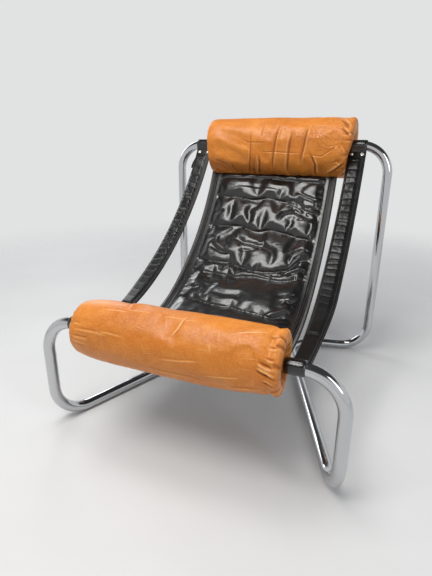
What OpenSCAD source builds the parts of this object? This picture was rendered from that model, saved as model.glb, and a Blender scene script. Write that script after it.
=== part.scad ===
/* [Frame] */
// Outer diameter of the frame tube
tube_d = 28; // [22:1:34]
// Wall of the frame tube
tube_wall = 2; // [1.2:0.1:3]
// Radius of every bend, to the middle of the tube
bend_r = 86; // [70:1:95]
// Width of the frame between the middles of its two sides
frame_w = 700; // [660:5:800]
// Height of the front bar's middle above the floor
front_bar_h = 293; // [260:1:340]
// Height of the back bar's middle above the floor
back_bar_h = 680; // [620:5:760]
// Level distance from the front bar to the back bar
frame_depth = 735; // [680:5:820]
// Distance between the two waist corners of the floor runs
waist_w = 180; // [120:5:260]
// Distance of the waist corners ahead of the back legs
waist_lead = 50; // [10:5:120]

/* [Frame joints] */
// Length of the plug that joins the two halves inside each bar
spigot_len = 120; // [80:5:180]
// Play of the plug in the tube, all round
spigot_play = 0.1; // [0.05:0.05:0.3]
// Open seam between the two halves of the frame
seam_gap = 0.2; // [0:0.1:1]
// Diameter of the screws that hold the plugs
screw_d = 5; // [4:0.5:6]
// Diameter of the screws' countersunk heads
screw_head_d = 9; // [7.5:0.5:11]
// Length of the screws
screw_len = 18; // [12:1:20]
// Distance of each screw from the seam
screw_inset = 35; // [20:1:45]

/* [Sling] */
// Distance from the sling's edges to the ends of the rolls
sling_inset = 23.5; // [19:0.5:45]
// Thickness of the sling's carrying leather
sling_t = 3; // [2:0.5:5]
// Width of the bands beside the padded panel
band_w = 21; // [14:1:50]
// Thickness of the wadding under the panel
wadding_t = 6; // [3:1:12]
// Thickness of the panel's leather at its edge
panel_t = 2; // [1.5:0.5:4]
// Height that the panel's middle puffs up
panel_crown = 9; // [3:1:14]
// Thickness of the side bands
band_t = 2.5; // [1.5:0.5:4]

/* [Straps] */
// Distance that the straps' outer edges reach over the start of the frame's bends
strap_over = 19; // [4:1:20]
// Width of a side strap at the back bar
strap_w = 53; // [40:1:56]
// Width of a side strap at the front bar
strap_front_w = 41; // [34:1:50]
// Thickness of a side strap
strap_t = 4; // [3:0.5:6]
// Gap between a strap and the ends of the rolls
strap_gap = 0.5; // [0.3:0.1:4]
// Width of the pleated facing on a strap
facing_w = 36; // [26:1:38]
// Height of the pleats
pleat_h = 5; // [3:0.5:8]
// Number of pleats
pleat_count = 13; // [6:1:20]

/* [Rivets] */
// Diameter of the rivets' heads
rivet_head_d = 9; // [7:0.5:11]
// Height of the rivets' domed heads
rivet_head_h = 2.4; // [1.5:0.1:4]
// Diameter of the rivets' shanks
rivet_d = 3.5; // [2.5:0.5:4.5]
// Distance between the two rivets of a strap end
rivet_pitch = 31; // [22:1:32]
// Pitch of the two rivets at the narrow front end
rivet_front_pitch = 22; // [16:1:24]

/* [Front bolster] */
// Diameter of the front bolster
bolster_d = 140; // [110:2:160]

/* [Head roll] */
// Height of the head roll
head_h = 177; // [150:1:200]
// Depth of the head roll, front to back
head_depth = 150; // [120:1:170]
// Distance of the head roll's middle below the back bar
head_drop = 11; // [0:1:20]
// Distance of the head roll's middle ahead of the back bar
head_lead = 10; // [0:1:20]

/* [Roll covers] */
// Thickness of the rolls' leather
cover_t = 2; // [1.5:0.5:3]
// Length of the rounded ends of the covers
end_round = 22; // [16:1:23]
// Depth that the covers' ends are drawn in at the bar
end_dish = 12; // [6:1:15]
// Extra fullness of a roll at its middle
roll_crown = 2; // [0:0.5:4]
// Depth of the gathers at the covers' ends
gather_depth = 2; // [0:0.5:3]
// Number of gathers round each end
gather_count = 9; // [6:1:12]

/* [Hidden] */
$fn = 64;

chrome = [0.82, 0.83, 0.85];
steel = [0.62, 0.63, 0.65];
black_leather = [0.07, 0.07, 0.08];
tan_leather = [0.78, 0.41, 0.13];
foam_yellow = [0.9, 0.84, 0.58];
wadding_white = [0.9, 0.9, 0.88];

// Clearance between a soft piece and what it lies on or wraps
rest_gap = 0.3;
// Clearance between the sling and the edges of the slit where it leaves a roll
slit_gap = 1;
// Distance from a roll to the panel and bands of the sling
panel_gap = 4;
// Overrun of cuts past the faces that they open
overrun = 1;
// Extra turn in degrees that a bend is drawn with before its end is cut
spare_turn = 2;
// Smallest step of a sine, and the steps in degrees in which an angle is settled
fine_share = 0.000001;
settle_turn = 0.00001;
settle_steps = 1500;
// Play of screws and rivets in their holes
hole_play = 0.1;
// Wall of the loops that go round the bars
loop_t = 2.5;
// Half of the angle at which the two walls of a loop meet
loop_half_angle = 40;
// Width of the panel's flat sewn margin, and of the step up to its wadding
margin_w = 10;
margin_step = 8;
// Plain edge between a strap's rim and its facing
facing_edge = 4;

tube_r = tube_d / 2;
bore_r = tube_r - tube_wall;
half_w = frame_w / 2;
waist_x = waist_w / 2;
head_back_reach = head_depth / 2 - head_lead;
whole_depth = bolster_d / 2 + frame_depth + head_back_reach;
front_y = bolster_d / 2 - whole_depth / 2;
back_y = front_y + frame_depth;
front_bar = [front_y, front_bar_h];
back_bar = [back_y, back_bar_h];
head_middle = back_bar - [head_lead, head_drop];

// Turn of the long floor run from the frame's length, and of the short one from its width
long_turn = settled(atan2(half_w - waist_x, frame_depth - waist_lead));
short_turn = settled(atan2(waist_lead, half_w - waist_x));
long_run = frame_depth * cos(short_turn) / cos(long_turn - short_turn);

// Middle line of one half of the frame, corner by corner, from seam to seam
frame_corners = [
    [0, front_y, front_bar_h],
    [half_w, front_y, front_bar_h],
    [half_w, front_y, tube_r],
    [half_w - long_run * sin(long_turn), front_y + long_run * cos(long_turn), tube_r],
    [half_w, back_y, tube_r],
    [half_w, back_y, back_bar_h],
    [0, back_y, back_bar_h]
];
front_bend = 1;
waist_bend = 3;

// Depth of a screw's head under the crest of the tube, so that its rim stays inside
screw_sink = tube_r - sqrt(pow(tube_r, 2) - pow(screw_head_d / 2, 2));
screw_cone = (screw_head_d - screw_d) / 2;

loop_r = tube_r + rest_gap + loop_t;
end_hole_r = loop_r + rest_gap;
rivet_reach = loop_r / sin(loop_half_angle) + rivet_head_d / 2;

// Control points of the sling's and the straps' curves, as shares of the frame's depth and bar heights
sling_share = [[0.475, 0.2], [0.952, 0.715]];
strap_share = [[0.274, 0.603], [0.797, 0.6325]];
sling_pull = pull_of(sling_share);
strap_pull = pull_of(strap_share);
strip_steps = 72;
search_steps = 240;

// Widths from the frame inwards: straps, rolls, sling, and the panel between its bands
strap_in = half_w - bend_r + strap_over - strap_w;
roll_half = strap_in - strap_gap;
sling_w = 2 * (roll_half - sling_inset);
panel_w = sling_w - 2 * (band_w + rest_gap);
// Stretch of the straps' length, as shares of the frame's depth, in which they widen
strap_taper_share = [0.12, 0.4];
// Ends of the pleated facing, as shares of the strap's curve
facing_share = [0.3, 0.93];
pleat_steps = 6;
// Height of the pleats' valleys, as a share of their crests
valley_share = 0.3;

panel_rows = 48;
panel_columns = 11;
padded_rows = 2;
// Main folds of the panel: place along it, depth, width, slant, and the side that they lean to
fold_shares = [
    [0.07, 0.5, 0.022, -0.02, 0.5],
    [0.17, 0.6, 0.024, 0.03, -0.6],
    [0.29, 0.8, 0.026, -0.04, 0.5],
    [0.42, 0.9, 0.028, -0.05, 0.2],
    [0.55, 1, 0.03, 0.04, -0.3],
    [0.66, 0.9, 0.026, -0.05, 0.2],
    [0.78, 0.7, 0.024, 0.03, 0.5],
    [0.9, 0.8, 0.022, -0.03, -0.2]
];
// Deepest that a fold goes, as a share of the crown
deepest_share = 0.9;

around_steps = 36;
barrel_steps = 6;
// Rounded end of a roll, from the bar to the barrel: share of the dish, share of the rounding,
// share of the full section, and share of the wall that lies across the section
end_shares = [
    [1, 0, 0, 0],
    [0.35, 0, 0.42, 0.05],
    [0, 0, 0.72, 0.4],
    [0, 0.28, 0.92, 0.85],
    [0, 1, 1, 1]
];

function unit(v) = v / norm(v);
function lerp(a, b, share) = a + (b - a) * share;

// Sine and cosine of an angle in whole steps of a millionth, and how far their squares are from adding up to one
function whole(v) = round(v / fine_share) * fine_share;
function misfit(angle) = abs(pow(whole(cos(angle)), 2) + pow(whole(sin(angle)), 2) - 1);
// Angle next to the given one whose sine and cosine are such whole steps, so that runs and bends meet true
function settled(angle) = let (
    near = [for (i = [-settle_steps : settle_steps]) angle + i * settle_turn],
    least = min([for (a = near) misfit(a)]),
    found = [for (a = near) if (misfit(a) <= least) a][0])
    atan2(whole(sin(found)), whole(cos(found)));

function pull_of(shares) = [
    front_bar,
    [front_y + frame_depth * shares[0][0], front_bar_h * shares[0][1]],
    [front_y + frame_depth * shares[1][0], back_bar_h * shares[1][1]],
    back_bar
];
function at(pull, f) = pow(1 - f, 3) * pull[0] + 3 * pow(1 - f, 2) * f * pull[1]
    + 3 * (1 - f) * f * f * pull[2] + pow(f, 3) * pull[3];
function slope(pull, f) = unit(pow(1 - f, 2) * (pull[1] - pull[0])
    + 2 * (1 - f) * f * (pull[2] - pull[1]) + f * f * (pull[3] - pull[2]));
function over(pull, f, rise) = at(pull, f) + rise * [-slope(pull, f)[1], slope(pull, f)[0]];
// Nearest place on the curve to its front or back end that is clear of the bar there
function clear_front(pull, reach) = [for (i = [0 : search_steps])
    if (norm(at(pull, i / search_steps) - front_bar) >= reach) i / search_steps][0];
function clear_back(pull, reach) = [for (i = [search_steps : -1 : 0])
    if (norm(at(pull, i / search_steps) - back_bar) >= reach) i / search_steps][0];

panel_start = clear_front(sling_pull, bolster_d / 2 + panel_gap);
panel_end = clear_back(sling_pull, head_h / 2 + head_drop + panel_gap);

// Frame

function heading(i) = unit(frame_corners[i + 1] - frame_corners[i]);
function is_bend(i) = i > 0 && i < len(frame_corners) - 1;
function turn_of(i) = acos(heading(i - 1) * heading(i));
function cut_back(i) = is_bend(i) ? bend_r * tan(turn_of(i) / 2) : 0;
function run_length(i) = norm(frame_corners[i + 1] - frame_corners[i]) - cut_back(i) - cut_back(i + 1);
// Direction from a bend's start to its middle, and the same direction once the bend has turned it
function inward(i) = unit(heading(i) - heading(i - 1) * (heading(i - 1) * heading(i)));
function turned(i) = inward(i) * cos(turn_of(i)) - heading(i - 1) * sin(turn_of(i));
// Turn about the tube's own line from the plane of one bend to the plane of the next
function twist(i) = i <= 1 ? 0
    : atan2(inward(i) * cross(heading(i - 1), turned(i - 1)), inward(i) * turned(i - 1));

// Bend that leaves the origin along Z and turns towards X; its end is cut square to the next run
module elbow(i, r) {
    difference() {
        translate([bend_r, 0, 0])
            rotate([90, 0, 180])
                rotate_extrude(angle = turn_of(i) + spare_turn)
                    translate([bend_r, 0])
                        circle(r = r);
        past_elbow(i)
            translate([-2 * r, -2 * r, 0])
                cube([4 * r, 4 * r, r]);
    }
}

// Frame at the end of a bend; the turn at the waist is made in two, by the angles of the floor runs
module past_elbow(i) {
    first_turn = i == waist_bend ? 90 - short_turn : 0;
    translate([bend_r, 0, 0])
        rotate([0, first_turn, 0])
            rotate([0, turn_of(i) - first_turn, 0])
                translate([-bend_r, 0, 0])
                    children();
}

// Straight runs and bends from run i on, each placed on the end of the one before it
module runs_from(i, r, past) {
    last = len(frame_corners) - 2;
    lead = i == 0 ? past : 0;
    tail = i == last ? past : 0;
    translate([0, 0, -lead])
        cylinder(h = run_length(i) + lead + tail, r = r);
    if (i < last)
        translate([0, 0, run_length(i)])
            rotate([0, 0, twist(i + 1)]) {
                elbow(i + 1, r);
                past_elbow(i + 1)
                    runs_from(i + 1, r, past);
            }
}

// One half of the frame as a round bar of radius r, which runs on past the seam by that much
module frame_run(r, past) {
    translate(frame_corners[0])
        rotate([0, 90, 0])
            runs_from(0, r, past);
}

// One of the two bars, from the seam, with the bend that ends it
module bar_run(bar, r) {
    length = half_w - bend_r;
    translate([0, bar[0], bar[1]])
        rotate([0, 90, 0]) {
            cylinder(h = length, r = r);
            translate([0, 0, length])
                elbow(front_bend, r);
        }
}

module screw_place(bar) {
    translate([screw_inset, bar[0], bar[1]])
        rotate([90, 0, 0])
            children();
}

module screw_places() {
    screw_place(front_bar)
        children();
    screw_place(back_bar)
        children();
}

// Countersunk screw whose tip points up; a hole for it has play and a mouth that reaches the outside
module screw(play = 0, mouth = 0) {
    translate([0, 0, screw_sink - tube_r])
        union() {
            cylinder(h = screw_cone, r1 = screw_head_d / 2 + play, r2 = screw_d / 2 + play);
            cylinder(h = screw_len + play, r = screw_d / 2 + play);
            if (mouth > 0)
                translate([0, 0, -mouth])
                    cylinder(h = mouth, r = screw_head_d / 2 + play);
        }
}

module both_sides() {
    children();
    mirror([1, 0, 0])
        children();
}

module half_frame() {
    color(chrome)
        difference() {
            frame_run(tube_r, -seam_gap / 2);
            frame_run(bore_r, overrun);
            screw_places()
                screw(hole_play, screw_sink + overrun);
        }
}

module frame_right() {
    half_frame();
}

module frame_left() {
    mirror([1, 0, 0])
        half_frame();
}

module spigot(bar) {
    color(steel)
        difference() {
            translate([-spigot_len / 2, bar[0], bar[1]])
                rotate([0, 90, 0])
                    cylinder(h = spigot_len, r = bore_r - spigot_play);
            both_sides()
                screw_place(bar)
                    screw(hole_play, screw_sink + overrun);
        }
}

module front_spigot() {
    spigot(front_bar);
}

module back_spigot() {
    spigot(back_bar);
}

module joint_screws() {
    color(steel)
        both_sides()
            screw_places()
                screw();
}

// Side views are drawn in Y and Z, and extruded along X from low to high

module along_x(low, high) {
    translate([low, 0, 0])
        rotate([90, 0, 90])
            linear_extrude(height = high - low)
                children();
}

// Strip that follows a curve between two places, from a low to a high rise over it
module strip(pull, from, to, low, high, steps = strip_steps) {
    places = [for (i = [0 : steps]) lerp(from, to, i / steps)];
    polygon(concat([for (f = places) over(pull, f, low)],
        [for (i = [steps : -1 : 0]) over(pull, places[i], high)]));
}

// Loop outline of radius r round a bar, whose two walls meet along the direction d
module teardrop(bar, d, r) {
    translate(bar)
        rotate(atan2(d[1], d[0]))
            union() {
                circle(r = r);
                polygon(r * [[0, 0], [sin(loop_half_angle), -cos(loop_half_angle)],
                    [1 / sin(loop_half_angle), 0], [sin(loop_half_angle), cos(loop_half_angle)]]);
            }
}

module both_teardrops(pull, r) {
    teardrop(front_bar, slope(pull, 0), r);
    teardrop(back_bar, -slope(pull, 1), r);
}

module looped_strip(pull, t) {
    difference() {
        union() {
            both_teardrops(pull, loop_r);
            strip(pull, 0, 1, -t / 2, t / 2);
        }
        both_teardrops(pull, tube_r + rest_gap);
    }
}

// Sling

module sling_base() {
    color(black_leather)
        along_x(-sling_w / 2, sling_w / 2)
            looped_strip(sling_pull, sling_t);
}

wadding_half = panel_w / 2 - margin_w - margin_step;
wadding_low = sling_t / 2 + rest_gap;
wadding_high = wadding_low + wadding_t;

function panel_place(row) = lerp(panel_start, panel_end, row / panel_rows);

module sling_wadding() {
    color(wadding_white)
        along_x(-wadding_half, wadding_half)
            strip(sling_pull, panel_place(padded_rows), panel_place(panel_rows - padded_rows),
                wadding_low, wadding_high, panel_rows - 2 * padded_rows);
}

// Columns of the panel: both flat margins, and even steps over the wadding
function panel_x(column) = column == 0 ? -panel_w / 2
    : column == panel_columns ? panel_w / 2
    : column == 1 ? margin_w - panel_w / 2
    : column == panel_columns - 1 ? panel_w / 2 - margin_w
    : lerp(-wadding_half, wadding_half, (column - 2) / (panel_columns - 4));
function is_padded(row, column) = column > 1 && column < panel_columns - 1
    && row >= padded_rows && row <= panel_rows - padded_rows;
function under_panel(row, column) = is_padded(row, column) ? wadding_high + rest_gap : wadding_low;

function bump(share) = exp(-share * share);
// Depth of the folds at a place v along the panel and u across it, as a share of the crown
function fold_at(u, v) = let (depths = [for (fold = fold_shares)
    fold[1] * (1 + fold[4] * u) * bump((v - fold[0] - fold[3] * u) / fold[2])])
    min(deepest_share, max(depths));
function puff_at(u, v) = (1 - pow(u, 4)) * (1 - pow(2 * v - 1, 8));
function panel_top(row, column) = let (u = panel_x(column) / (panel_w / 2), v = row / panel_rows)
    panel_t + (is_padded(row, column) ? panel_crown * puff_at(u, v) * (1 - fold_at(u, v)) : 0);

function panel_point(row, column, rise) = let (p = over(sling_pull, panel_place(row), rise))
    [panel_x(column), p[0], p[1]];

module sling_panel() {
    color(black_leather)
        thick_sheet(
            [for (row = [0 : panel_rows]) [for (column = [0 : panel_columns])
                panel_point(row, column, under_panel(row, column) + panel_top(row, column))]],
            [for (row = [0 : panel_rows]) [for (column = [0 : panel_columns])
                panel_point(row, column, under_panel(row, column))]]);
}

// Closed solid between two grids of points, with an outer and an inner face
module thick_sheet(outer, inner) {
    rows = len(outer);
    columns = len(outer[0]);
    count = rows * columns;
    corner = function (row, column) row * columns + column;
    points = concat([for (line = outer) for (p = line) p], [for (line = inner) for (p = line) p]);
    cells = [for (row = [0 : rows - 2]) for (column = [0 : columns - 2])
        [corner(row, column), corner(row + 1, column), corner(row + 1, column + 1), corner(row, column + 1)]];
    rim = concat(
        [for (column = [0 : columns - 1]) corner(0, column)],
        [for (row = [1 : rows - 1]) corner(row, columns - 1)],
        [for (column = [columns - 2 : -1 : 0]) corner(rows - 1, column)],
        [for (row = [rows - 2 : -1 : 1]) corner(row, 0)]);
    sides = [for (i = [0 : len(rim) - 1]) let (a = rim[i], b = rim[(i + 1) % len(rim)])
        [a, b, b + count, a + count]];
    quads = concat(cells, [for (c = cells) [for (i = [3 : -1 : 0]) c[i] + count]], sides);
    polyhedron(points = points, faces = [for (q = quads) for (i = [1, 2]) [q[0], q[i], q[i + 1]]]);
}

module sling_band(low, high) {
    color(black_leather)
        along_x(low, high)
            strip(sling_pull, panel_start, panel_end, wadding_low, wadding_low + band_t);
}

module sling_band_left() {
    sling_band(-sling_w / 2, -panel_w / 2 - rest_gap);
}

module sling_band_right() {
    sling_band(panel_w / 2 + rest_gap, sling_w / 2);
}

// Straps and rivets

// Outline of a strap from above, narrow at the front bar and wide from the seat to the back bar
module strap_outline() {
    low = front_y - whole_depth;
    high = back_y + whole_depth;
    narrow_y = front_y + frame_depth * strap_taper_share[0];
    wide_y = front_y + frame_depth * strap_taper_share[1];
    linear_extrude(height = back_bar_h + whole_depth)
        polygon([[strap_in, low], [strap_in + strap_front_w, low], [strap_in + strap_front_w, narrow_y],
            [strap_in + strap_w, wide_y], [strap_in + strap_w, high], [strap_in, high]]);
}

module rivet_places(f, middle, pitch) {
    place = at(strap_pull, f);
    d = slope(strap_pull, f);
    for (side = [-1, 1])
        translate([middle + side * pitch / 2, place[0], place[1]])
            rotate([atan2(d[1], d[0]), 0, 0])
                children();
}

module back_rivet_places() {
    rivet_places(clear_back(strap_pull, rivet_reach), strap_in + strap_w / 2, rivet_pitch)
        children();
}

module front_rivet_places() {
    rivet_places(clear_front(strap_pull, rivet_reach), strap_in + strap_front_w / 2, rivet_front_pitch)
        children();
}

module rivet_hole() {
    depth = strap_t + 2 * overrun;
    translate([0, 0, -depth / 2])
        cylinder(h = depth, r = rivet_d / 2 + hole_play);
}

// Dome of a rivet's head: a slice of a sphere, flat on the leather
module rivet_head() {
    ball_r = (pow(rivet_head_d / 2, 2) + pow(rivet_head_h, 2)) / (2 * rivet_head_h);
    translate([0, 0, strap_t / 2])
        intersection() {
            translate([0, 0, rivet_head_h - ball_r])
                sphere(r = ball_r);
            cylinder(h = rivet_head_h + overrun, r = rivet_head_d / 2 + overrun);
        }
}

module rivet() {
    union() {
        rivet_head();
        mirror([0, 0, 1])
            rivet_head();
        translate([0, 0, -strap_t / 2])
            cylinder(h = strap_t, r = rivet_d / 2);
    }
}

module back_rivets() {
    color(steel)
        both_sides()
            back_rivet_places()
                rivet();
}

module front_rivets() {
    color(steel)
        both_sides()
            front_rivet_places()
                rivet();
}

module strap() {
    color(black_leather)
        intersection() {
            difference() {
                union() {
                    along_x(strap_in, strap_in + strap_w)
                        looped_strip(strap_pull, strap_t);
                    bar_run(front_bar, loop_r);
                    bar_run(back_bar, loop_r);
                }
                bar_run(front_bar, tube_r + rest_gap);
                bar_run(back_bar, tube_r + rest_gap);
                back_rivet_places()
                    rivet_hole();
                front_rivet_places()
                    rivet_hole();
            }
            strap_outline();
        }
}

module strap_right() {
    strap();
}

module strap_left() {
    mirror([1, 0, 0])
        strap();
}

// Pleated facing: a strip whose top runs up and down over each pleat
module strap_facing(low) {
    low_rise = strap_t / 2 + rest_gap;
    steps = pleat_count * pleat_steps;
    places = [for (i = [0 : steps]) lerp(facing_share[0], facing_share[1], i / steps)];
    rises = [for (i = [0 : steps]) low_rise
        + pleat_h * lerp(valley_share, 1, abs(sin(180 * i / pleat_steps)))];
    color(black_leather)
        along_x(low, low + facing_w)
            polygon(concat([for (f = places) over(strap_pull, f, low_rise)],
                [for (i = [steps : -1 : 0]) over(strap_pull, places[i], rises[i])]));
}

module strap_facing_right() {
    strap_facing(strap_in + facing_edge);
}

module strap_facing_left() {
    strap_facing(facing_edge - strap_in - strap_w);
}

// Rolls: a section is a circle, or two circles of radius a drawn apart to the height b

function section_reach(a, b, angle) = a * abs(sin(angle)) <= (b - a) * abs(cos(angle))
    ? a / abs(cos(angle))
    : (b - a) * abs(sin(angle)) + sqrt(pow(a, 2) - pow((b - a) * cos(angle), 2));

module section(middle, a, b) {
    translate(middle)
        union() {
            for (side = b > a ? [-1, 1] : [0])
                translate([0, side * (b - a)])
                    circle(r = a);
            if (b > a)
                square([2 * a, 2 * (b - a)], center = true);
        }
}

module foam(middle, a, b, bar, d) {
    inset = cover_t + rest_gap;
    half = roll_half - end_round - rest_gap;
    color(foam_yellow)
        along_x(-half, half)
            difference() {
                section(middle, a - inset, b - inset);
                teardrop(bar, d, loop_r + rest_gap);
                strip(sling_pull, 0, 1, -sling_t / 2 - slit_gap, sling_t / 2 + slit_gap);
            }
}

// Angle, seen from the roll's middle, at which the sling crosses a section
function crossing(middle, a, b, bar) = let (hits = [for (i = [0 : search_steps])
    let (f = bar == front_bar ? i / search_steps : 1 - i / search_steps, p = at(sling_pull, f) - middle,
        angle = atan2(p[1], p[0]))
    if (norm(p) >= section_reach(a, b, angle)) angle]) hits[0];

// Rings of the cover from the left end to the right: X, share of the section, share of the wall
function end_rings(side) = [for (e = end_shares)
    [side * (roll_half - end_dish * e[0] - end_round * e[1]), e[2], e[3]]];
function reversed(list) = [for (i = [len(list) - 1 : -1 : 0]) list[i]];
barrel_half = roll_half - end_round;
rings = concat(end_rings(-1),
    [for (i = [1 : barrel_steps - 1]) [lerp(-barrel_half, barrel_half, i / barrel_steps), 1, 1]],
    reversed(end_rings(1)));

function crown_at(x) = roll_crown * (1 - pow(x / roll_half, 2));
function gather_at(ring, angle) = gather_depth * 4 * ring[1] * (1 - ring[1]) * cos(angle * gather_count);

// Point of the cover on a ring, at a step round the bar from one edge of the slit to the other
function cover_point(ring, step, middle, a, b, bar, wall) = let (
    exit = crossing(middle, a - cover_t, b - cover_t, bar),
    reach_in = section_reach(a - cover_t, b - cover_t, exit),
    slit = asin((sling_t / 2 + 2 * slit_gap) / reach_in),
    angle = exit + slit + (360 - 2 * slit) * step / around_steps,
    full = section_reach(a, b, angle) + crown_at(ring[0]),
    reach = lerp(end_hole_r, full, ring[1]) + (wall > 0 ? 0 : gather_at(ring, angle)) - wall * ring[2],
    p = lerp(bar, middle, ring[1]) + reach * [cos(angle), sin(angle)])
    [ring[0] - sign(ring[0]) * wall * (1 - ring[2]), p[0], p[1]];

module cover(middle, a, b, bar) {
    color(tan_leather)
        thick_sheet(
            [for (ring = rings) [for (step = [0 : around_steps])
                cover_point(ring, step, middle, a, b, bar, 0)]],
            [for (ring = rings) [for (step = [0 : around_steps])
                cover_point(ring, step, middle, a, b, bar, cover_t)]]);
}

bolster_a = bolster_d / 2 - roll_crown;
head_a = head_depth / 2 - roll_crown;
head_b = head_h / 2 - roll_crown;

module bolster_foam() {
    foam(front_bar, bolster_a, bolster_a, front_bar, slope(sling_pull, 0));
}

module bolster_cover() {
    cover(front_bar, bolster_a, bolster_a, front_bar);
}

module head_roll_foam() {
    foam(head_middle, head_a, head_b, back_bar, -slope(sling_pull, 1));
}

module head_roll_cover() {
    cover(head_middle, head_a, head_b, back_bar);
}

frame_left();
frame_right();
front_spigot();
back_spigot();
joint_screws();
sling_base();
sling_wadding();
sling_panel();
sling_band_left();
sling_band_right();
strap_left();
strap_right();
strap_facing_left();
strap_facing_right();
back_rivets();
front_rivets();
bolster_foam();
bolster_cover();
head_roll_foam();
head_roll_cover();
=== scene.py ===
import math

import bpy
import numpy as np
from mathutils import Matrix, Vector, noise


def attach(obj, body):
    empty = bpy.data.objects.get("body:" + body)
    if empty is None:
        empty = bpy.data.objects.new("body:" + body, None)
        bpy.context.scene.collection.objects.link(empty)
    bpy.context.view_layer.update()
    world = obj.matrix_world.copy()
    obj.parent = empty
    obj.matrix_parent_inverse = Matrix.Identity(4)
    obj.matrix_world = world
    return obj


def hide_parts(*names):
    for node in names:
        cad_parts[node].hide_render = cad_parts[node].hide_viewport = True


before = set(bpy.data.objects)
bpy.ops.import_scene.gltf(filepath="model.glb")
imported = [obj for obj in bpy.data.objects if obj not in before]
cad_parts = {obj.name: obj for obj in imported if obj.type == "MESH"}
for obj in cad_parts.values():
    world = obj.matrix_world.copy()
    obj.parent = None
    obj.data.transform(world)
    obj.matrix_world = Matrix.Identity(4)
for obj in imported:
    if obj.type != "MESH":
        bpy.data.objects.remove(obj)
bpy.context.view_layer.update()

# ---- sizes, in metres, as in the frame

FRONT_BAR = np.array([-0.365, 0.293])
BACK_BAR = np.array([0.370, 0.680])
TUBE_R = 0.014
LOOP_IN, LOOP_R = TUBE_R + 0.0003, 0.0168
LOOP_HALF = math.radians(40)
SLING_PULL = [[-0.365, 0.293], [-0.0159, 0.0586], [0.3347, 0.4862], [0.370, 0.680]]
STRAP_PULL = [[-0.365, 0.293], [-0.1636, 0.1767], [0.2208, 0.4301], [0.370, 0.680]]
SLING_HALF = 0.206
PANEL_HALF = 0.1847
STRAP_IN = 0.230
STRAP_W = 0.053
STRAP_FRONT_W = 0.041
STRAP_T, STRAP_TOP = 0.004, 0.0021
ROOT = "root"


class Curve:
    """A curve in the plane of Y and Z, measured along its length from the front bar."""

    def __init__(self, pull, spread=None):
        self.spread = spread
        f = np.linspace(0, 1, 1601)[:, None]
        a, b, c, d = (np.array(p) for p in pull)
        self.p = (1 - f) ** 3 * a + 3 * (1 - f) ** 2 * f * b + 3 * (1 - f) * f * f * c + f ** 3 * d
        t = (1 - f) ** 2 * (b - a) + 2 * (1 - f) * f * (c - b) + f * f * (d - c)
        self.t = t / np.linalg.norm(t, axis=1)[:, None]
        self.s = np.concatenate([[0], np.cumsum(np.linalg.norm(np.diff(self.p, axis=0), axis=1))])
        self.length = float(self.s[-1])

    def look(self, s, table):
        return np.stack([np.interp(s, self.s, table[:, k]) for k in range(2)], -1)

    def tangent(self, s):
        t = self.look(np.asarray(s, float), self.t)
        return t / np.linalg.norm(t, axis=-1)[..., None]

    def normal(self, s):
        t = self.tangent(s)
        return np.stack([-t[..., 1], t[..., 0]], -1)

    def point(self, x, s, rise=0.0):
        """Row-frame points at x, s along and rise above the curve."""
        x, s, rise = np.broadcast_arrays(np.asarray(x, float), np.asarray(s, float), np.asarray(rise, float))
        if self.spread:
            x = x * self.spread(x, s)
        q = self.look(s, self.p) + self.normal(s) * rise[..., None]
        return np.stack([x, q[..., 0], q[..., 1]], -1)

    def clear_of(self, middle, reach, front):
        away = np.linalg.norm(self.p - middle, axis=1) >= reach
        i = np.argmax(away) if front else len(away) - 1 - np.argmax(away[::-1])
        return float(self.s[i])


def smooth(x, low, high):
    t = np.clip((np.asarray(x, float) - low) / (high - low), 0, 1)
    return t * t * (3 - 2 * t)


def left_stretch(x, s):
    """The sling has stretched a little on the sitter's right side, which is the viewer's left."""
    return 1 + 0.042 * smooth(-x, 0.02, 0.15) * smooth(s, 0.2, 0.5) * smooth(s, 0.955, 0.90)


SLING = Curve(SLING_PULL, left_stretch)
STRAP = Curve(STRAP_PULL)


def fractal(points, size, seed, octaves=3):
    """Smooth noise from about -1 to 1 at each point, with features of the given size."""
    flat = np.asarray(points, float).reshape(-1, 3) / size
    offset = Vector((seed * 17.3, seed * 5.1, seed * 11.7))
    values = [noise.fractal(Vector(p) + offset, 0.9, 2.0, octaves, noise_basis="PERLIN_ORIGINAL") for p in flat]
    return np.array(values).reshape(np.asarray(points).shape[:-1])


def stroke(u, v, points, width, fade=0.35, lip=0.0, side=1):
    """A fold line through points on a surface, in millimetres: a furrow of depth 1, with a ridge beside it."""
    pts = np.array(points, float)
    steps = np.linalg.norm(np.diff(pts, axis=0), axis=1)
    ends = np.concatenate([[0], np.cumsum(steps)])
    best = np.full(u.shape, 1e9)
    signed, along = np.zeros(u.shape), np.zeros(u.shape)
    for i, (a, b) in enumerate(zip(pts[:-1], pts[1:])):
        d = b - a
        n2 = max(d @ d, 1e-9)
        t = np.clip(((u - a[0]) * d[0] + (v - a[1]) * d[1]) / n2, 0, 1)
        du, dv = u - a[0] - t * d[0], v - a[1] - t * d[1]
        dist = np.hypot(du, dv)
        near = dist < best
        best = np.where(near, dist, best)
        cross = np.sign(d[0] * dv - d[1] * du)
        signed = np.where(near, dist * cross, signed)
        along = np.where(near, (ends[i] + t * steps[i]) / ends[-1], along)
    ramp = smooth(np.minimum(along, 1 - along), 0, fade) if fade > 0 else 1.0
    value = -np.exp(-(best / width) ** 2)
    if lip:
        value = value + lip * np.exp(-((side * signed - 1.7 * width) / (1.1 * width)) ** 2) * (best < 4 * width)
    return value * ramp, np.exp(-(best / (0.8 * width)) ** 2) * ramp


# ---- meshes

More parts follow.
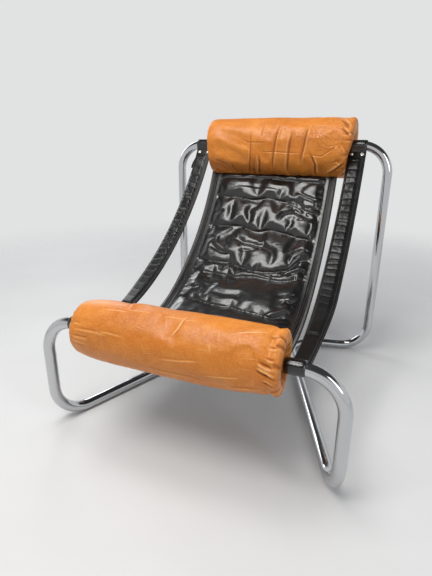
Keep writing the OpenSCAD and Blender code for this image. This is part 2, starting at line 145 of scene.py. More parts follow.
def add_mesh(name, verts, faces, material, attributes=None):
    mesh = bpy.data.meshes.new(name)
    mesh.from_pydata(np.asarray(verts, float).reshape(-1, 3).tolist(), [], faces)
    mesh.update()
    mesh.polygons.foreach_set("use_smooth", [True] * len(mesh.polygons))
    for key, values in (attributes or {}).items():
        layer = mesh.attributes.new(key, "FLOAT", "POINT")
        layer.data.foreach_set("value", np.asarray(values, np.float32).reshape(-1))
    obj = bpy.data.objects.new(name, mesh)
    bpy.context.scene.collection.objects.link(obj)
    if material:
        mesh.materials.append(material)
    return obj


def lattice(rows, columns, wrap=False, flip=False, start=0):
    faces = []
    last = columns if wrap else columns - 1
    for i in range(rows - 1):
        for j in range(last):
            k = (j + 1) % columns
            q = (i * columns + j, i * columns + k, (i + 1) * columns + k, (i + 1) * columns + j)
            faces.append(tuple(start + c for c in (q[::-1] if flip else q)))
    return faces


class Parts:
    """Vertices and faces of several shells that become one mesh."""

    def __init__(self):
        self.verts, self.faces, self.extra, self.count, self.slots = [], [], {}, 0, []

    def add(self, grid, wrap=False, caps=False, flip=False, slot=0, **extra):
        grid = np.asarray(grid, float)
        before = len(self.faces)
        rows, columns = grid.shape[:2]
        self.faces += lattice(rows, columns, wrap, flip, self.count)
        if caps:
            first = [self.count + j for j in range(columns)]
            last = [self.count + (rows - 1) * columns + j for j in range(columns)]
            self.faces += [tuple(first if flip else first[::-1]), tuple(last[::-1] if flip else last)]
        self.slots += [slot] * (len(self.faces) - before)
        self.verts.append(grid.reshape(-1, 3))
        for key in set(extra) | set(self.extra):
            done = self.extra.setdefault(key, [np.zeros(self.count)])
            done.append(np.broadcast_to(extra.get(key, 0.0), (rows, columns)).reshape(-1))
        self.count += rows * columns

    def build(self, name, material, *more):
        attributes = {k: np.concatenate(v) for k, v in self.extra.items()}
        obj = add_mesh(name, np.concatenate(self.verts), self.faces, material, attributes)
        for other in more:
            obj.data.materials.append(other)
        if more:
            obj.data.polygons.foreach_set("material_index", self.slots)
        return obj


def stretch_over(values, size, axis):
    """Values on a coarse grid, read off evenly along one axis at a finer size."""
    values = np.moveaxis(values, axis, 0)
    place = np.linspace(0, len(values) - 1, size)
    low = np.minimum(place.astype(int), len(values) - 2)
    share = (place - low).reshape(-1, *[1] * (values.ndim - 1))
    return np.moveaxis(values[low] * (1 - share) + values[low + 1] * share, 0, axis)


def spaced(count, step):
    """Indices from 0 to count - 1, about a step apart."""
    return np.unique(np.round(np.linspace(0, count - 1, (count - 1) // step + 1)).astype(int))


def settle(grid, held, wrap, step, pressure, growth, frames, most, stiff=8.0):
    """How far each point of a leather sheet moves when it swells between the places where it is held."""
    whole = np.concatenate([grid, grid[:, :1]], 1) if wrap else grid
    hold = np.concatenate([held, held[:, :1]], 1) if wrap else held
    rows, columns = spaced(whole.shape[0], step), spaced(whole.shape[1], step)
    coarse, weight = whole[np.ix_(rows, columns)], hold[np.ix_(rows, columns)]
    if wrap:
        coarse, weight = coarse[:, :-1], weight[:, :-1]
    shape = coarse.shape[:2]
    sheet = add_mesh("settling", coarse, lattice(*shape, wrap), None)
    group = sheet.vertex_groups.new(name="held")
    for i, w in enumerate(np.clip(weight.reshape(-1), 0, 1)):
        if w > 0.01:
            group.add([i], float(w), "REPLACE")
    cloth = sheet.modifiers.new("cloth", "CLOTH")
    s = cloth.settings
    s.quality, s.mass, s.time_scale = 6, 0.3, 1.0
    s.tension_stiffness = s.compression_stiffness = 15
    s.shear_stiffness, s.bending_stiffness = 5, stiff
    s.air_damping = 6
    s.use_pressure, s.uniform_pressure_force = True, pressure
    s.shrink_min = -growth
    s.vertex_group_mass = "held"
    s.pin_stiffness = 1.0
    s.effector_weights.gravity = 0
    cloth.collision_settings.use_collision = False
    cloth.point_cache.frame_start, cloth.point_cache.frame_end = 1, frames
    scene = bpy.context.scene
    for f in range(1, frames + 1):
        scene.frame_set(f)
    moved = np.zeros(shape[0] * shape[1] * 3)
    sheet.evaluated_get(bpy.context.evaluated_depsgraph_get()).data.vertices.foreach_get("co", moved)
    mesh = sheet.data
    bpy.data.objects.remove(sheet)
    bpy.data.meshes.remove(mesh)
    scene.frame_set(1)
    delta = moved.reshape(*shape, 3) - coarse
    size = np.linalg.norm(delta, axis=-1, keepdims=True)
    print("settled", round(float(size.mean()) * 1000, 2), round(float(size.max()) * 1000, 2), shape)
    delta = delta * (most * np.tanh(size / most) / np.maximum(size, 1e-9))
    if wrap:
        delta = np.concatenate([delta, delta[:, :1]], 1)
    delta = stretch_over(stretch_over(delta, whole.shape[0], 0), whole.shape[1], 1)
    return delta[:, :-1] if wrap else delta


def strap_ring(low, high, half_t, rise, corner=6):
    """Offsets (x, rise) round the section of a flat strip with rounded edges; low and high are arrays."""
    ring = []
    for k in range(corner + 1):
        a = math.pi / 2 - math.pi * k / corner
        ring.append((high - half_t + half_t * math.cos(a), rise + half_t * math.sin(a)))
    for k in range(corner + 1):
        a = -math.pi / 2 - math.pi * k / corner
        ring.append((low + half_t + half_t * math.cos(a), rise + half_t * math.sin(a)))
    return ring


def strip_shell(curve, s, low, high, thick, rise):
    """Closed strip along a curve, from x low to x high, as a grid of rings."""
    low, high = np.broadcast_to(low, s.shape), np.broadcast_to(high, s.shape)
    rings = strap_ring(low, high, thick / 2, rise)
    return np.stack([curve.point(x, s, r) for x, r in rings], 1)


def loop_shell(curve, bar, front, low, high, thick, inner):
    """Loop of leather round a bar, whose two walls meet on the strip; a grid of rings from low to high x."""
    d = curve.t[0] if front else -curve.t[-1]
    lead = math.atan2(d[1], d[0])
    outer = inner + thick
    half = LOOP_HALF
    angles = np.linspace(lead + half, lead + 2 * math.pi - half, 49)
    circle = np.stack([np.cos(angles), np.sin(angles)], 1)
    tip = np.array([math.cos(lead), math.sin(lead)])
    far, near = tip * outer / math.sin(half), tip * inner / math.sin(half)
    out = np.concatenate([circle * outer, [far * 0.97 + circle[-1] * outer * 0.03], [far]])
    back = np.concatenate([[near], circle[::-1] * inner])
    outline = np.concatenate([out, back]) + bar
    x = np.linspace(low, high, 9)
    edge = np.minimum(x - low, high - x)
    grid = np.zeros((len(x), len(outline), 3))
    middle = outline - bar
    size = np.linalg.norm(middle, axis=1)[:, None]
    for i, xi in enumerate(x):
        pinch = 0.0006 * (1 - min(1.0, edge[i] / 0.002))
        sign = np.where(np.arange(len(outline)) < len(out), -1, 1)[:, None]
        q = bar + middle / size * (size + sign * pinch)
        grid[i] = np.column_stack([np.full(len(outline), xi), q])
    return grid


def thread(name, rows, material, length=0.0034, radius=0.00045, slant=0.0):
    """Stitches along each row, a list of (points, normals) that are one pitch apart."""
    sides, rings = 6, 5
    parts_v, parts_f, count = [], [], 0
    t = np.linspace(-1, 1, rings)
    bulge = np.sqrt(np.clip(1 - t ** 4, 0.05, 1))
    for points, normals in rows:
        points, normals = np.asarray(points, float), np.asarray(normals, float)
        tangents = np.gradient(points, axis=0)
        tangents /= np.linalg.norm(tangents, axis=1)[:, None]
        for p, n, d in zip(points, normals, tangents):
            side = np.cross(n, d)
            d = d * math.cos(slant) + side * math.sin(slant)
            side = np.cross(n, d)
            ring = []
            for k in range(rings):
                c = p + d * t[k] * length / 2 + n * radius * (0.75 - 0.9 * t[k] ** 4)
                for j in range(sides):
                    a = 2 * math.pi * j / sides
                    ring.append(c + radius * bulge[k] * (side * math.cos(a) + n * math.sin(a)))
            parts_v.append(np.array(ring))
            parts_f += lattice(rings, sides, True, False, count)
            parts_f.append(tuple(count + j for j in range(sides))[::-1])
            parts_f.append(tuple(count + (rings - 1) * sides + j for j in range(sides)))
            count += rings * sides
    return add_mesh(name, np.concatenate(parts_v), parts_f, material)


def curve_row(curve, x, start, end, rise, pitch):
    s = np.arange(start, end, pitch)
    n = curve.normal(s)
    return curve.point(x, s, rise), np.column_stack([np.zeros(len(s)), n])


# ---- materials

class Nodes:
    """The nodes of a material or a world, made one call each."""

    def __init__(self, owner, coordinate="Object"):
        owner.use_nodes = True
        self.owner, self.tree = owner, owner.node_tree
        self.place = self.add("ShaderNodeTexCoord", coordinate)

    def put(self, socket, value):
        """Set a socket to a number, vector or colour, or feed it from another node."""
        if isinstance(value, (int, float)):
            socket.default_value = value
        elif isinstance(value, tuple):
            socket.default_value = value if len(value) == len(socket.default_value) else (*value, 1)
        else:
            self.tree.links.new(value, socket)

    def add(self, kind, output, inputs=None, **settings):
        """Add a node with its inputs and settings; returns the output asked for."""
        node = self.tree.nodes.new(kind)
        for key, value in settings.items():
            setattr(node, key, value)
        for key, value in (inputs or {}).items():
            self.put(node.inputs[key], value)
        return node.outputs[output]

    def stretched(self, scale):
        return self.add("ShaderNodeMapping", "Vector", {"Scale": scale, "Vector": self.place})

    def noise(self, scale, detail=3.0, rough=0.55, distortion=0.0, where=None):
        inputs = {"Scale": scale, "Detail": detail, "Roughness": rough, "Distortion": distortion}
        return self.add("ShaderNodeTexNoise", "Fac", {**inputs, "Vector": where or self.place})

    def cells(self, scale, feature="DISTANCE_TO_EDGE", where=None):
        return self.add("ShaderNodeTexVoronoi", "Distance", {"Scale": scale, "Vector": where or self.place},
                        feature=feature)

    def ramp(self, value, low, high, a=0.0, b=1.0, kind="LINEAR"):
        inputs = {"Value": value, "From Min": low, "From Max": high, "To Min": a, "To Max": b}
        return self.add("ShaderNodeMapRange", "Result", inputs, interpolation_type=kind)

    def math(self, kind, a, b):
        return self.add("ShaderNodeMath", "Value", {0: a, 1: b}, operation=kind)

    def mix(self, share, a, b):
        return self.add("ShaderNodeMix", 2, {0: share, 6: a, 7: b}, data_type="RGBA")

    def mark(self, name):
        return self.add("ShaderNodeAttribute", "Fac", attribute_name=name)

    def bump(self, height, strength, distance, base=None):
        inputs = {"Strength": strength, "Distance": distance, "Height": height}
        return self.add("ShaderNodeBump", "Normal", inputs if base is None else {**inputs, "Normal": base})

    def set(self, name, value):
        self.put(self.tree.nodes["Principled BSDF"].inputs[name], value)


def tan_leather():
    m = Nodes(bpy.data.materials.new("tan_leather"))
    cloud = m.noise(6.5, 4, 0.6, 0.4)
    mottle = m.noise(42, 5, 0.65)
    fleck = m.noise(210, 4, 0.7)
    streak = m.noise(1, 6, 0.62, 0.5, where=m.stretched((10, 85, 85)))
    colour = m.mix(m.ramp(cloud, 0.32, 0.7), (0.58, 0.165, 0.016), (0.76, 0.262, 0.034))
    colour = m.mix(m.ramp(mottle, 0.45, 0.75, 0, 0.45), colour, (0.84, 0.35, 0.075))
    colour = m.mix(m.ramp(streak, 0.6, 0.76, 0, 0.35), colour, (0.88, 0.44, 0.13))
    shade = m.noise(1, 5, 0.6, 0.4, where=m.stretched((7, 60, 60)))
    colour = m.mix(m.ramp(shade, 0.58, 0.78, 0, 0.4), colour, (0.42, 0.11, 0.01))
    colour = m.mix(m.ramp(fleck, 0.52, 0.72, 0, 0.34), colour, (0.88, 0.43, 0.12))
    colour = m.mix(m.ramp(fleck, 0.46, 0.3, 0, 0.34), colour, (0.45, 0.115, 0.01))
    stain = m.noise(4.3, 3, 0.5, 0.8)
    colour = m.mix(m.ramp(stain, 0.6, 0.78, 0, 0.35), colour, (0.46, 0.125, 0.012))
    # painted shade: the crease mark darkens the leather along creases, gathers and the groove where the sling goes in
    colour = m.mix(m.ramp(m.mark("crease"), 0.12, 1.0, 0, 0.85), colour, (0.235, 0.055, 0.006))
    # painted highlight and wear: this mark lightens the ridges beside folds and the pale scratch lines
    colour = m.mix(m.ramp(m.mark("rub"), 0.1, 0.9, 0, 0.7), colour, (0.93, 0.54, 0.21))
    crack = m.cells(95, where=m.stretched((1, 1.15, 1.15)))
    patch = m.math("MULTIPLY", m.ramp(m.noise(11, 3), 0.38, 0.6), m.mark("craze"))
    masked = m.math("MULTIPLY", m.ramp(crack, 0.0, 0.06, 1, 0), patch)
    colour = m.mix(m.math("MULTIPLY", masked, 0.6), colour, (0.3, 0.08, 0.009))
    m.set("Base Color", colour)
    rough = m.math("ADD", m.ramp(mottle, 0.3, 0.75, 0.36, 0.5), m.ramp(m.mark("crease"), 0, 1, 0, 0.14))
    m.set("Roughness", rough)
    m.set("Specular IOR Level", 0.36)
    m.set("Coat Weight", 0.1)
    m.set("Coat Roughness", 0.3)
    grain = m.bump(m.cells(760, "F1"), 0.14, 0.0005)
    crinkle = m.bump(m.noise(170, 4, 0.62, 0.6), 0.38, 0.001, grain)
    crack_bump = m.bump(m.math("SUBTRACT", 1.0, masked), 0.75, 0.0012, crinkle)
    fine = m.noise(1, 5, 0.6, 0.7, where=m.stretched((26, 95, 95)))
    m.set("Normal", m.bump(fine, 0.24, 0.002, crack_bump))
    return m.owner


def black_leather(name, rough_low, rough_high, wrinkle_depth, tone=1.0, coat=0.2, shine=0.5):
    m = Nodes(bpy.data.materials.new(name))
    cloud = m.noise(12, 4, 0.6, 0.3)
    dark, light = (0.0055 * tone, 0.0055 * tone, 0.006 * tone), (0.015 * tone, 0.0145 * tone, 0.0145 * tone)
    colour = m.mix(m.ramp(cloud, 0.35, 0.7), dark, light)
    # painted highlight on fold ridges and pleat tops, and even wear over the straps: this mark lightens the black
    # leather
    colour = m.mix(m.ramp(m.mark("rub"), 0.2, 1.0, 0, 0.35), colour, (0.06, 0.056, 0.052))
    colour = m.mix(m.ramp(m.noise(160, 4, 0.7), 0.56, 0.75, 0, 0.2), colour, (0.04, 0.038, 0.036))
    m.set("Base Color", colour)
    m.set("Roughness", m.ramp(m.noise(24, 5, 0.65), 0.3, 0.75, rough_low, rough_high))
    m.set("Specular IOR Level", shine)
    m.set("Coat Weight", coat)
    m.set("Coat Roughness", 0.17)
    grain = m.bump(m.cells(620, "F1"), 0.14, 0.0005)
    fine = m.bump(m.noise(130, 4, 0.6, 0.5), 0.16, 0.0008, grain)
    m.set("Normal", m.bump(m.noise(1, 4, 0.5, 0.6, where=m.stretched((16, 34, 34))), wrinkle_depth, 0.003, fine))
    return m.owner


def flesh_leather():
    m = Nodes(bpy.data.materials.new("leather_back"))
    nap = m.noise(420, 5, 0.7)
    colour = m.mix(m.ramp(m.noise(10, 4, 0.6), 0.3, 0.7), (0.014, 0.013, 0.013), (0.035, 0.033, 0.032))
    colour = m.mix(m.ramp(nap, 0.4, 0.7, 0, 0.5), colour, (0.06, 0.056, 0.053))
    m.set("Base Color", colour)
    m.set("Roughness", m.ramp(nap, 0.3, 0.7, 0.72, 0.9))
    m.set("Sheen Weight", 0.25)
    m.set("Sheen Roughness", 0.5)
    m.set("Normal", m.bump(nap, 0.35, 0.0008, m.bump(m.noise(60, 4, 0.6), 0.2, 0.001)))
    return m.owner


def chrome():
    m = Nodes(bpy.data.materials.new("chrome"))
    haze = m.noise(16, 5, 0.6, 0.5)
    spots = m.ramp(m.noise(300, 3, 0.6), 0.68, 0.78, 0, 0.35)
    m.set("Base Color", m.mix(spots, (0.55, 0.56, 0.575), (0.28, 0.25, 0.21)))
    m.set("Metallic", 1.0)
    m.set("Roughness", m.ramp(haze, 0.35, 0.75, 0.045, 0.13))
    scuff = m.noise(1, 4, 0.6, 0.2, where=m.stretched((220, 220, 900)))
    m.set("Normal", m.bump(scuff, 0.02, 0.0002, m.bump(m.noise(22, 2), 0.03, 0.001)))
    return m.owner


def plain_metal(name, tone, low, high, pits):
    m = Nodes(bpy.data.materials.new(name))
    m.set("Base Color", m.mix(m.ramp(m.noise(520, 4, 0.7), 0.5, 0.75, 0, pits), tone, (0.3, 0.27, 0.23)))
    m.set("Metallic", 1.0)
    m.set("Roughness", m.ramp(m.noise(190, 4, 0.6), 0.3, 0.7, low, high))
    m.set("Normal", m.bump(m.noise(700, 3, 0.6), 0.08, 0.0003))
    return m.owner


def thread_material(name, dark, light):
    m = Nodes(bpy.data.materials.new(name))
    m.set("Base Color", m.mix(m.ramp(m.noise(900, 2), 0.35, 0.65), dark, light))
    m.set("Roughness", 0.45)
    m.set("Sheen Weight", 0.3)
    m.set("Normal", m.bump(m.noise(1, 2, 0.5, 0.0, where=m.stretched((2500, 900, 900))), 0.5, 0.0003))
    return m.owner


TAN = tan_leather()
GLOSSY = black_leather("black_leather", 0.26, 0.4, 0.1, 0.8, 0.5)
STRAP_BLACK = black_leather("strap_leather", 0.34, 0.48, 0.08, 0.7, 0.0, 0.24)
PLEAT_BLACK = black_leather("pleat_leather", 0.28, 0.42, 0.08, 0.7, 0.1, 0.4)
SLEEVE_BLACK = black_leather("sleeve_leather", 0.14, 0.26, 0.05, 0.8, 0.5)
FLESH = flesh_leather()
CHROME = chrome()
STEEL = plain_metal("plain_steel", (0.6, 0.61, 0.62), 0.3, 0.45, 0.2)
RIVET = plain_metal("rivet_steel", (0.88, 0.85, 0.79), 0.2, 0.34, 0.3)
THREAD = thread_material("thread", (0.035, 0.033, 0.031), (0.13, 0.125, 0.118))
LACING = thread_material("lacing", (0.05, 0.048, 0.045), (0.2, 0.19, 0.18))

METALS = {"frame_left": CHROME, "frame_right": CHROME, "front_spigot": STEEL, "back_spigot": STEEL,
          "joint_screws": STEEL}
for node, material in METALS.items():
    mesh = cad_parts[node].data
    mesh.materials.clear()
    mesh.materials.append(material)


# ---- sling

BASE_T, BASE_TOP = 0.003, 0.0018
PANEL_START = SLING.clear_of(FRONT_BAR, 0.062, True)
PANEL_END = SLING.clear_of(BACK_BAR, 0.090, False)


def make_base():
    parts = Parts()
    s = np.linspace(0.022, SLING.length - 0.022, 150)
    parts.add(strip_shell(SLING, s, -SLING_HALF, SLING_HALF, BASE_T, 0.0), wrap=True, caps=True)
    for bar, front in ((FRONT_BAR, True), (BACK_BAR, False)):
        parts.add(loop_shell(SLING, bar, front, -SLING_HALF, SLING_HALF, 0.0025, LOOP_IN), wrap=True, caps=True)
    return parts.build("sling_carrier", FLESH)


# Valleys that part the panel's puffs, from the photograph: points (x, distance from the front bar), and the height of
# the puff above each
VALLEYS = [
    ([(-190, 96), (190, 92)], 8.0),
    ([(-190, 150), (-80, 142), (60, 146), (190, 138)], 8.5),
    ([(-190, 212), (-60, 205), (40, 212), (190, 200)], 9.5),
    ([(-190, 284), (-90, 278), (0, 286), (80, 278), (190, 262)], 11.0),
    ([(-190, 370), (-120, 362), (-65, 352), (-5, 350), (40, 342), (110, 332), (190, 346)], 13.5),
    ([(-190, 486), (-96, 483), (-29, 478), (32, 484), (101, 481), (141, 490), (190, 503)], 8.0),
    ([(-190, 536), (-110, 528), (-64, 530), (7, 506), (72, 508), (116, 526), (149, 569), (190, 580)], 15.0),
    ([(-190, 668), (-121, 669), (-63, 671), (-11, 654), (37, 664), (85, 654), (154, 640), (190, 638)], 15.5),
    ([(-190, 776), (-107, 778), (-55, 770), (6, 778), (69, 765), (113, 748), (190, 722)], 11.0),
    ([(-190, 842), (-60, 852), (60, 846), (190, 836)], 8.0),
    ([(-190, 905), (190, 905)], 0.0),
]

# Smaller folds, from the photograph: points, depth, width, ridge beside it and its side
FOLDS = [
    ([(-154, 803), (-95, 818), (-26, 818), (33, 810), (86, 798)], 2.0, 6, 0.5, -1),
    ([(40, 770), (85, 770), (133, 742)], 3.0, 6, 0.9, -1),
    ([(88, 806), (124, 788), (170, 773)], 3.4, 4.5, 0.9, -1),
    ([(118, 752), (150, 748), (184, 744)], 3.6, 4.5, 0.7, -1),
    ([(-114, 757), (-107, 720), (-104, 680)], 3.6, 10, 0.0, 1),
    ([(-46, 760), (-48, 718), (-34, 672)], 3.8, 12, 0.0, 1),
    ([(48, 690), (62, 722), (97, 733), (140, 716), (180, 705)], 5.0, 8, 0.7, -1),
    ([(98, 700), (88, 668)], 2.4, 9, 0.0, 1),
    ([(150, 708), (153, 678), (148, 650)], 3.6, 5, 0.5, 1),
    ([(108, 700), (142, 706)], 1.8, 4, 0.5, -1),
    ([(-108, 640), (-43, 606), (20, 596), (56, 580), (80, 545)], 6.2, 11, 0.6, -1),
    ([(-60, 572), (-10, 576), (30, 588)], 3.2, 6, 0.3, -1),
    ([(-146, 588), (-101, 563), (-60, 554)], 5.0, 7, 0.8, 1),
    ([(-120, 628), (-112, 596)], 2.6, 7, 0.0, 1),
    ([(111, 545), (116, 576), (145, 594), (184, 597)], 4.6, 5.5, 1.0, -1),
    ([(104, 566), (133, 588)], 2.6, 4.5, 0.6, 1),
    ([(134, 552), (160, 565), (186, 570)], 3.8, 4.5, 0.9, -1),
    ([(104, 497), (150, 521), (188, 530)], 4.0, 5, 0.8, 1),
    ([(30, 500), (70, 494), (120, 502)], 2.6, 6, 0.5, 1),
    ([(-122, 464), (-94, 440), (-68, 426)], 4.2, 6, 0.9, 1),
    ([(175, 440), (140, 418), (108, 409)], 4.2, 6, 0.9, 1),
    ([(132, 382), (163, 401), (190, 428)], 3.8, 5, 0.8, 1),
    ([(135, 404), (160, 392), (182, 380)], 2.6, 5, 0.5, 1),
    ([(-100, 400), (-40, 392), (30, 398)], 2.2, 13, 0.3, 1),
    ([(92, 316), (134, 340), (154, 354), (188, 352)], 4.0, 6, 0.8, 1),
    ([(140, 298), (168, 313), (188, 308)], 3.4, 5, 0.8, 1),
    ([(-176, 416), (-150, 408), (-116, 412)], 3.0, 6, 0.6, 1),
    ([(-180, 722), (-152, 716), (-126, 720)], 2.6, 6, 0.5, 1),
    ([(-178, 622), (-150, 612), (-130, 616)], 2.4, 6, 0.5, 1),
    ([(-90, 245), (-20, 238), (60, 246)], 2.4, 9, 0.4, -1),
    ([(-140, 180), (-70, 172), (10, 178)], 2.2, 8, 0.4, 1),
]


PANEL_PRESSURE, PANEL_GROWTH, PANEL_SWELL = 1.2, 0.022, 0.0042


def make_panel():
    across = np.linspace(-PANEL_HALF, PANEL_HALF, 187)
    along = np.linspace(PANEL_START, PANEL_END, 401)
    s, x = np.meshgrid(along, across, indexing="ij")
    u, v = x * 1000, s * 1000
    half = PANEL_HALF * 1000
    inner = PANEL_HALF - np.abs(x)
    # the puffs start further in on the left of the photograph
    rim = np.where(x < 0, smooth(inner, 0.010, 0.046), smooth(inner, 0.008, 0.036))
    rim = rim * smooth(s, PANEL_START + 0.002, PANEL_START + 0.03) * smooth(s, PANEL_END + 0.001, PANEL_END - 0.03)
    height, crease, rub = np.zeros(x.shape), np.zeros(x.shape), np.zeros(x.shape)
    soft = 9 * fractal(np.stack([u[0], 0 * u[0], 0 * u[0]], -1), 70, 41, 2)
    lines = [np.interp(u[0], *np.array(points, float).T) for points, _ in VALLEYS]
    kernel = np.hanning(11)[1:-1] / np.hanning(11).sum()
    lines = [np.convolve(np.pad(line, 4, "edge"), kernel, "valid") + 0.25 * soft for line in lines]
    for (_, high), low_line, high_line in zip(VALLEYS, lines[:-1], lines[1:]):
        t = (v - low_line) / (high_line - low_line)
        puff = np.sin(np.pi * np.clip(t, 0, 1) ** 0.66) ** 0.72
        height = np.where((t >= 0) & (t < 1), high * puff, height)
        crease = np.maximum(crease, np.exp(-((v - low_line) / 3.5) ** 2) * min(1, high / 12))
    height = (height + 1.0) * (1 - 0.35 * (x / PANEL_HALF) ** 4)
    for points, depth, width, lip, side in FOLDS:
        value, line = stroke(u, v, points, width, 0.35, lip, side)
        height = height + depth * value
        crease = np.maximum(crease, line * min(1, depth / 4))
        # painted highlight: the ridge beside each fold is marked to be lighter
        rub = np.maximum(rub, np.clip(value, 0, 1))
    where = np.stack([u, v, np.zeros(u.shape)], -1)
    height = height + 1.2 * fractal(where * np.array([0.6, 1.3, 1]), 60, 3, 2)
    height = height + 0.28 * fractal(where * np.array([0.8, 1.4, 1]), 16, 5, 2)
    # short tucks that run in from the two sewn edges
    rng = np.random.default_rng(11)
    for side in (-1, 1):
        place = PANEL_START * 1000 + 14
        while place < PANEL_END * 1000 - 12:
            reach = rng.uniform(12, 30)
            slant = rng.uniform(-8, 8)
            start = (side * (half - 5), place)
            stop = (side * (half - 5 - reach), place + slant)
            value, line = stroke(u, v, [start, stop], rng.uniform(2.4, 4.0), 0.0, 0.5, side)
            tail = smooth(np.abs(u), half - 6 - reach, half - 8)
            height = height + rng.uniform(0.9, 2.2) * value * tail
            place += rng.uniform(12, 26)
    height = np.where(height > 15, 15 + 2.5 * np.tanh((height - 15) / 2.5), height)
    height = np.where(height < 3, 0.8 + 2.2 * np.exp(np.minimum(height - 3, 0) / 2.2), height)
    top = BASE_TOP + 0.0022 + rim * height * 0.001
    crown = SLING.point(x, s, top)
    held = np.maximum(smooth(rim, 0.35, 0.02), 0.8 * smooth(crease, 0.3, 0.9))
    # the lower half of the seat is the calmer one in the photograph
    calm = (0.2 + 0.8 * smooth(s, 0.29, 0.46))[..., None]
    crown = crown + calm * settle(crown, held, False, 3, PANEL_PRESSURE, PANEL_GROWTH, 18, PANEL_SWELL, 30.0)
    low = np.stack([SLING.point(edge, along, BASE_TOP) for edge in (across[-1], 0.0, across[0])], 1)
    ring = np.concatenate([crown, low], 1)
    parts = Parts()
    pad = np.zeros((len(along), 3))
    crease, rub = (np.concatenate([marks * rim, pad], 1) for marks in (crease, rub))
    parts.add(ring, wrap=True, caps=True, crease=crease, rub=rub)
    return parts.build("seat_panel", GLOSSY)


def make_band(side):
    name = "band_left" if side < 0 else "band_right"
    s = np.linspace(PANEL_START - 0.004, PANEL_END + 0.004, 200)
    inner, outer = PANEL_HALF + 0.0003, SLING_HALF + 0.0004
    wide = outer - inner
    profile = [(0.0, 0.0018), (0.0, 0.0034), (0.001, 0.0040), (0.004, 0.0037), (0.008, 0.0035), (0.012, 0.0036),
               (0.0145, 0.0040), (wide - 0.0045, 0.0041), (wide - 0.0012, 0.0037), (wide, 0.0028), (wide, 0.0018)]
    wave = 0.00035 * np.sin(s * 95) + 0.0003 * np.sin(s * 41 + 1)
    rings = [SLING.point(side * (inner + dx), s, rise + (wave if rise > 0.003 else 0)) for dx, rise in profile]
    parts = Parts()
    parts.add(np.stack(rings, 1), wrap=True, caps=True, flip=side > 0)
    return parts.build(name, STRAP_BLACK)


def make_sling_threads():
    sides = (-1, 1)
    rows = [curve_row(SLING, side * x, PANEL_START + inset, PANEL_END - inset, rise, 0.0044)
            for side in sides for x, inset, rise in ((0.1940, 0, 0.0040), (0.1868, 0, 0.0040), (0.1815, 0.004, 0.0042))]
    fine = thread("sling_stitches", rows, THREAD, 0.0033, 0.0005)
    braid = [curve_row(SLING, side * (0.1992 + shift), PANEL_START + start, PANEL_END, 0.0042, 0.0050)
             for side in sides for shift, start in ((0.0, 0.0), (0.0026, 0.0025))]
    coarse = thread("sling_lacing", braid, LACING, 0.0066, 0.0013, 0.62)
    s = np.arange(0.05, SLING.length - 0.07, 0.0046)
    down = np.column_stack([np.zeros(len(s)), -SLING.normal(s)])
    under = [(SLING.point(side * x, s, -0.0015), down) for side in sides for x in (0.2030, 0.1868)]
    below = thread("sling_stitches_under", under, THREAD)
    return [fine, coarse, below]


# ---- straps

TAPER = (0.108, 0.345)


def strap_outer(s):
    return STRAP_IN + STRAP_FRONT_W + (STRAP_W - STRAP_FRONT_W) * smooth(s, *TAPER)


def make_strap(side):
    name = "side_strap_left" if side < 0 else "side_strap_right"
    parts = Parts()
    s = np.linspace(0.021, STRAP.length - 0.021, 220)
    low, high = np.full(s.shape, STRAP_IN), strap_outer(s)
    if side < 0:
        low, high = -high, -low
    grid = strip_shell(STRAP, s, low, high, STRAP_T, 0.0)
    parts.add(grid, wrap=True, caps=True, rub=0.15)
    for bar, front, width in ((FRONT_BAR, True, STRAP_FRONT_W), (BACK_BAR, False, STRAP_W)):
        ends = sorted((side * STRAP_IN, side * (STRAP_IN + width)))
        parts.add(loop_shell(STRAP, bar, front, ends[0], ends[1], 0.0021, LOOP_IN), wrap=True, caps=True, slot=1)
    # the strap's tail, which comes back under it from the back bar
    top = STRAP.length
    t = np.linspace(top - 0.088, top - 0.027, 24)
    shift = 0.013 if side < 0 else 0.0
    lean = shift * smooth(t, top - 0.03, top - 0.08)
    lift = -0.0042 - 0.004 * smooth(t, top - 0.04, top - 0.088)
    inner, outer = STRAP_IN + 0.004 + lean, STRAP_IN + STRAP_W - 0.002 + lean
    if side < 0:
        inner, outer = -outer, -inner
    rings = strap_ring(inner, outer, 0.0014, lift)
    parts.add(np.stack([STRAP.point(x, t, r) for x, r in rings], 1), wrap=True, caps=True, rub=0.3)
    return parts.build(name, STRAP_BLACK, SLEEVE_BLACK)


# Creases that part the pleats of the facings: distance from the front bar, and height of the pleat above each
CREASES_RIGHT = [
    (206, 0.6), (232, 0.5), (262, 0.7), (290, 0.7), (318, 0.9), (344, 1.0), (369, 1.4), (393, 1.8), (419, 2.2),
    (444, 2.6), (462, 2.8), (481, 3.2), (505, 3.2), (528, 3.6), (554, 3.8), (579, 4.0), (605, 3.6), (617, 3.2),
    (629, 3.4), (654, 4.2), (679, 4.2), (700, 4.2), (729, 4.6), (758, 4.0), (779, 3.2), (808, 2.6), (836, 1.6)]
CREASES_LEFT = [
    (206, 0.5), (236, 0.6), (268, 0.6), (300, 0.8), (330, 0.9), (357, 1.2), (382, 1.4), (408, 1.8), (432, 2.0),
    (455, 2.4), (478, 2.8), (499, 3.2), (514, 3.4), (528, 3.6), (549, 4.2), (566, 4.4), (581, 4.6), (599, 4.8),
    (616, 5.0), (631, 4.6), (645, 5.0), (666, 4.4), (680, 4.6), (694, 4.4), (716, 3.6), (739, 3.0), (770, 2.0),
    (804, 1.2), (836, 0.9)]


